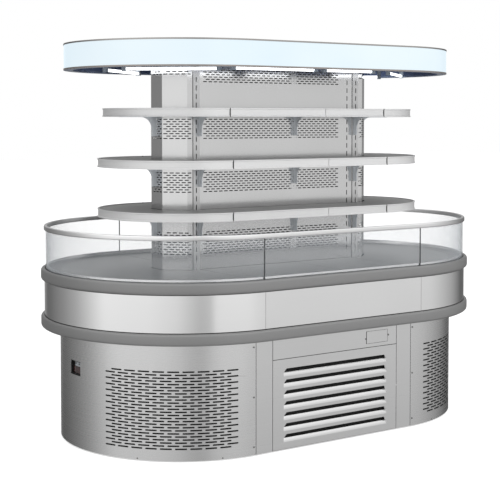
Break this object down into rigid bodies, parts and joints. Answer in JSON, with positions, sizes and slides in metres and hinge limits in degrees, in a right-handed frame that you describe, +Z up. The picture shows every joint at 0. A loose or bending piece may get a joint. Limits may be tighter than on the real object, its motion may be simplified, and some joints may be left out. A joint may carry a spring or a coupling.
{
  "type": "open multideck island display fridge",
  "caption": "Two-sided open island fridge with rounded ends: chilled deck behind a low glass guard, open shelves round a slotted air column, and a lit oval canopy.",
  "frame": {"origin": "on the floor under the middle of the cabinet", "axes": "+X along the length, away from the end with the temperature controller; -Y towards the front with the access flap; +Z up"},
  "size_m": [2.544, 1.528, 2.058],
  "materials": {
    "frame_steel": "satin black paint",
    "zinc_steel": "zinc plated",
    "skirt_stainless": "fine brushed",
    "polished_stainless": "bright polished",
    "deck_stainless": "fine brushed",
    "bumper_grey": "satin",
    "guard_glass": "clear",
    "rail_grey": "satin",
    "well_foam": "foam filled, sheet lined",
    "coil_aluminium": "fins",
    "compressor_black": "gloss black",
    "copper_pipe": "bare copper",
    "box_grey": "satin",
    "black_plastic": "satin",
    "lens_red": "dark red lens",
    "shelf_white": "satin white",
    "ticket_rail_white": "satin light grey",
    "fascia_acrylic": "translucent, lit from behind",
    "canopy_trim": "satin",
    "lamp_white": "lit diffuser",
    "holder_grey": "satin"
  },
  "bodies": {
    "cabinet": {"base_frame": "frame_steel", "column_frame": "frame_steel", "base_pan": "zinc_steel", "condenser_shroud": "zinc_steel", "evap_fan_plenum": "zinc_steel", "condensate_pan": "zinc_steel", "panel_screws": "zinc_steel", "flap_pin": "zinc_steel", "end_skirt_left": "skirt_stainless", "end_skirt_right": "skirt_stainless", "skirt_posts": "skirt_stainless", "header_front": "skirt_stainless", "header_back": "skirt_stainless", "belt_panels": "polished_stainless", "rim_ledge": "polished_stainless", "column_side_panels": "polished_stainless", "column_end_panels": "polished_stainless", "canopy_tray": "polished_stainless", "deck_pans": "deck_stainless", "return_grille": "deck_stainless", "lower_bumper": "bumper_grey", "upper_bumper": "bumper_grey", "glass_ends": "guard_glass", "glass_sides": "guard_glass", "glass_rail": "rail_grey", "insulated_well": "well_foam", "condenser_coil": "coil_aluminium", "evaporator_coil": "coil_aluminium", "compressor": "compressor_black", "condenser_motor": "compressor_black", "refrigerant_pipes": "copper_pipe", "control_box": "box_grey", "switch_box": "box_grey", "controller_case": "black_plastic", "controller_lens": "lens_red", "lower_shelves": "shelf_white", "middle_shelves": "shelf_white", "upper_shelves": "shelf_white", "shelf_brackets": "shelf_white", "shelf_standards": "shelf_white", "ticket_rails": "ticket_rail_white", "fascia": "fascia_acrylic", "canopy_lid": "canopy_trim", "lamp_tubes": "lamp_white", "lamp_holders": "holder_grey"},
    "access_flap": {"access_flap": "skirt_stainless"},
    "front_service_panel": {"louver_panel_front": "skirt_stainless"},
    "back_service_panel": {"louver_panel_back": "skirt_stainless"},
    "main_rocker": {"main_switch": "black_plastic"},
    "light_rocker": {"light_switch": "black_plastic"},
    "down_key": {"down_button": "black_plastic"},
    "up_key": {"up_button": "black_plastic"},
    "foot_1": {"level_foot_1": "zinc_steel"},
    "foot_2": {"level_foot_2": "zinc_steel"},
    "foot_3": {"level_foot_3": "zinc_steel"},
    "foot_4": {"level_foot_4": "zinc_steel"},
    "condenser_fan": {"condenser_fan": "black_plastic"},
    "left_evap_fan": {"evap_fan_left": "black_plastic"},
    "right_evap_fan": {"evap_fan_right": "black_plastic"}
  },
  "joints": [
    {"name": "flap_hinge", "type": "hinge", "parent": "cabinet", "child": "access_flap", "pos_m": [0.341, -0.6605, 0.517], "axis": [0, 0, 1], "range_deg": [0, 90]},
    {"name": "front_panel_pull", "type": "slide", "parent": "cabinet", "child": "front_service_panel", "axis": [0, -1, 0], "range_m": [0, 0.25]},
    {"name": "back_panel_pull", "type": "slide", "parent": "cabinet", "child": "back_service_panel", "axis": [0, 1, 0], "range_m": [0, 0.25]},
    {"name": "main_switch_rock", "type": "hinge", "parent": "cabinet", "child": "main_rocker", "pos_m": [0.245, -0.644, 0.51325], "axis": [1, 0, 0], "range_deg": [0, 16]},
    {"name": "light_switch_rock", "type": "hinge", "parent": "cabinet", "child": "light_rocker", "pos_m": [0.289, -0.644, 0.51325], "axis": [1, 0, 0], "range_deg": [0, 16]},
    {"name": "down_key_press", "type": "slide", "parent": "cabinet", "child": "down_key", "axis": [1, 0, 0], "range_m": [0, 0.0012], "stiffness_N_per_m": 400},
    {"name": "up_key_press", "type": "slide", "parent": "cabinet", "child": "up_key", "axis": [1, 0, 0], "range_m": [0, 0.0012], "stiffness_N_per_m": 400},
    {"name": "foot_1_turn", "type": "hinge", "parent": "cabinet", "child": "foot_1", "pos_m": [-0.43, -0.6175, 0.02], "axis": [0, 0, 1], "continuous": true},
    {"name": "foot_2_turn", "type": "hinge", "parent": "cabinet", "child": "foot_2", "pos_m": [0.43, -0.6175, 0.02], "axis": [0, 0, 1], "continuous": true},
    {"name": "foot_3_turn", "type": "hinge", "parent": "cabinet", "child": "foot_3", "pos_m": [-0.43, 0.6175, 0.02], "axis": [0, 0, 1], "continuous": true},
    {"name": "foot_4_turn", "type": "hinge", "parent": "cabinet", "child": "foot_4", "pos_m": [0.43, 0.6175, 0.02], "axis": [0, 0, 1], "continuous": true},
    {"name": "condenser_fan_spin", "type": "hinge", "parent": "cabinet", "child": "condenser_fan", "pos_m": [-0.11, -0.5015, 0.247], "axis": [0, 1, 0], "continuous": true},
    {"name": "left_evap_fan_spin", "type": "hinge", "parent": "cabinet", "child": "left_evap_fan", "pos_m": [-0.215, -0.296, 0.755], "axis": [0, 1, 0], "continuous": true},
    {"name": "right_evap_fan_spin", "type": "hinge", "parent": "cabinet", "child": "right_evap_fan", "pos_m": [0.215, -0.296, 0.755], "axis": [0, 1, 0], "continuous": true}
  ]
}
